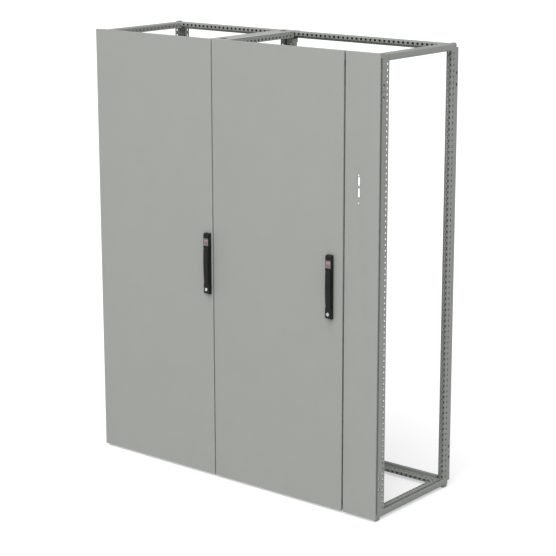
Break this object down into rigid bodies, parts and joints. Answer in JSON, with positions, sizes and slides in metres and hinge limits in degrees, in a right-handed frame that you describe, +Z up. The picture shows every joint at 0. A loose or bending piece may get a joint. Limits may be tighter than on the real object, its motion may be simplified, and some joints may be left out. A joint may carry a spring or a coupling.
{
  "type": "switchboard cabinet",
  "caption": "Free-standing profile-frame switchboard cabinet with hinged doors on the front, long black lift handles, a fixed flange panel and open sides and rear.",
  "frame": {"origin": "centre of the whole cabinet's footprint, on the floor under its feet", "axes": "+Z up, +X to the right seen from the front, +Y from the doors towards the rear; the doors face -Y"},
  "size_m": [1.6, 0.601, 2],
  "materials": {
    "door_paint": "light grey fine-textured powder coat",
    "frame_paint": "light grey powder coat on roll-formed profile",
    "zinc_steel": "bright zinc plate",
    "handle_plastic": "black glass-filled plastic, fine grain",
    "seal_rubber": "black foam sealing strip",
    "lock_metal": "satin chrome",
    "label_plate": "grey insert plate"
  },
  "bodies": {
    "frame": {"post_front_left": "frame_paint", "foot_front_left": "zinc_steel", "post_front_right": "frame_paint", "foot_front_right": "zinc_steel", "post_rear_left": "frame_paint", "foot_rear_left": "zinc_steel", "post_rear_right": "frame_paint", "foot_rear_right": "zinc_steel", "rail_front_top": "frame_paint", "rail_front_bottom": "frame_paint", "rail_rear_top": "frame_paint", "rail_rear_bottom": "frame_paint", "rail_left_top": "frame_paint", "rail_left_bottom": "frame_paint", "rail_right_top": "frame_paint", "rail_right_bottom": "frame_paint", "rail_middle_top": "frame_paint", "rail_middle_bottom": "frame_paint", "post_front_middle": "frame_paint", "post_rear_middle": "frame_paint", "post_panel_divider": "frame_paint", "flange_panel": "door_paint", "hinge_left_1_bracket": "zinc_steel", "hinge_left_1_pin": "zinc_steel", "hinge_left_2_bracket": "zinc_steel", "hinge_left_2_pin": "zinc_steel", "hinge_left_3_bracket": "zinc_steel", "hinge_left_3_pin": "zinc_steel", "hinge_right_1_bracket": "zinc_steel", "hinge_right_1_pin": "zinc_steel", "hinge_right_2_bracket": "zinc_steel", "hinge_right_2_pin": "zinc_steel", "hinge_right_3_bracket": "zinc_steel", "hinge_right_3_pin": "zinc_steel"},
    "door_left": {"door_left_panel": "door_paint", "door_left_seal": "seal_rubber", "door_left_stiffener": "frame_paint", "door_left_handle_base": "handle_plastic", "door_left_handle_label": "label_plate", "door_left_lock_case": "zinc_steel", "hinge_left_1_leaf": "zinc_steel", "hinge_left_2_leaf": "zinc_steel", "hinge_left_3_leaf": "zinc_steel"},
    "lever_left": {"door_left_handle_lever": "handle_plastic"},
    "lock_left": {"door_left_lock_cylinder": "lock_metal"},
    "rod_upper_left": {"door_left_rod_upper": "zinc_steel"},
    "rod_lower_left": {"door_left_rod_lower": "zinc_steel"},
    "door_right": {"door_right_panel": "door_paint", "door_right_seal": "seal_rubber", "door_right_stiffener": "frame_paint", "door_right_handle_base": "handle_plastic", "door_right_handle_label": "label_plate", "door_right_lock_case": "zinc_steel", "hinge_right_1_leaf": "zinc_steel", "hinge_right_2_leaf": "zinc_steel", "hinge_right_3_leaf": "zinc_steel"},
    "lever_right": {"door_right_handle_lever": "handle_plastic"},
    "lock_right": {"door_right_lock_cylinder": "lock_metal"},
    "rod_upper_right": {"door_right_rod_upper": "zinc_steel"},
    "rod_lower_right": {"door_right_rod_lower": "zinc_steel"}
  },
  "joints": [
    {"name": "door_left_hinge", "type": "hinge", "parent": "frame", "child": "door_left", "pos_m": [-0.793, -0.269, 1], "axis": [0, 0, -1], "range_deg": [0, 120]},
    {"name": "lever_left_pull", "type": "hinge", "parent": "door_left", "child": "lever_left", "pos_m": [-0.127, -0.2916, 1.073], "axis": [-1, 0, 0], "range_deg": [0, 85]},
    {"name": "lock_left_turn", "type": "hinge", "parent": "door_left", "child": "lock_left", "pos_m": [-0.127, -0.291, 0.884], "axis": [0, -1, 0], "range_deg": [0, 90]},
    {"name": "rod_upper_left_slide", "type": "slide", "parent": "door_left", "child": "rod_upper_left", "axis": [0, 0, -1], "range_m": [0, 0.018]},
    {"name": "rod_lower_left_slide", "type": "slide", "parent": "door_left", "child": "rod_lower_left", "axis": [0, 0, 1], "range_m": [0, 0.018]},
    {"name": "door_right_hinge", "type": "hinge", "parent": "frame", "child": "door_right", "pos_m": [-0.092, -0.269, 1], "axis": [0, 0, -1], "range_deg": [0, 105]},
    {"name": "lever_right_pull", "type": "hinge", "parent": "door_right", "child": "lever_right", "pos_m": [0.556, -0.2916, 1.073], "axis": [-1, 0, 0], "range_deg": [0, 85]},
    {"name": "lock_right_turn", "type": "hinge", "parent": "door_right", "child": "lock_right", "pos_m": [0.556, -0.291, 0.884], "axis": [0, -1, 0], "range_deg": [0, 90]},
    {"name": "rod_upper_right_slide", "type": "slide", "parent": "door_right", "child": "rod_upper_right", "axis": [0, 0, -1], "range_m": [0, 0.018]},
    {"name": "rod_lower_right_slide", "type": "slide", "parent": "door_right", "child": "rod_lower_right", "axis": [0, 0, 1], "range_m": [0, 0.018]}
  ],
  "couplings": [
    {"joint": "rod_upper_left_slide", "follows": "lever_left_pull", "m_per_rad": 0.01213},
    {"joint": "rod_lower_left_slide", "follows": "lever_left_pull", "m_per_rad": 0.01213},
    {"joint": "rod_upper_right_slide", "follows": "lever_right_pull", "m_per_rad": 0.01213},
    {"joint": "rod_lower_right_slide", "follows": "lever_right_pull", "m_per_rad": 0.01213}
  ]
}
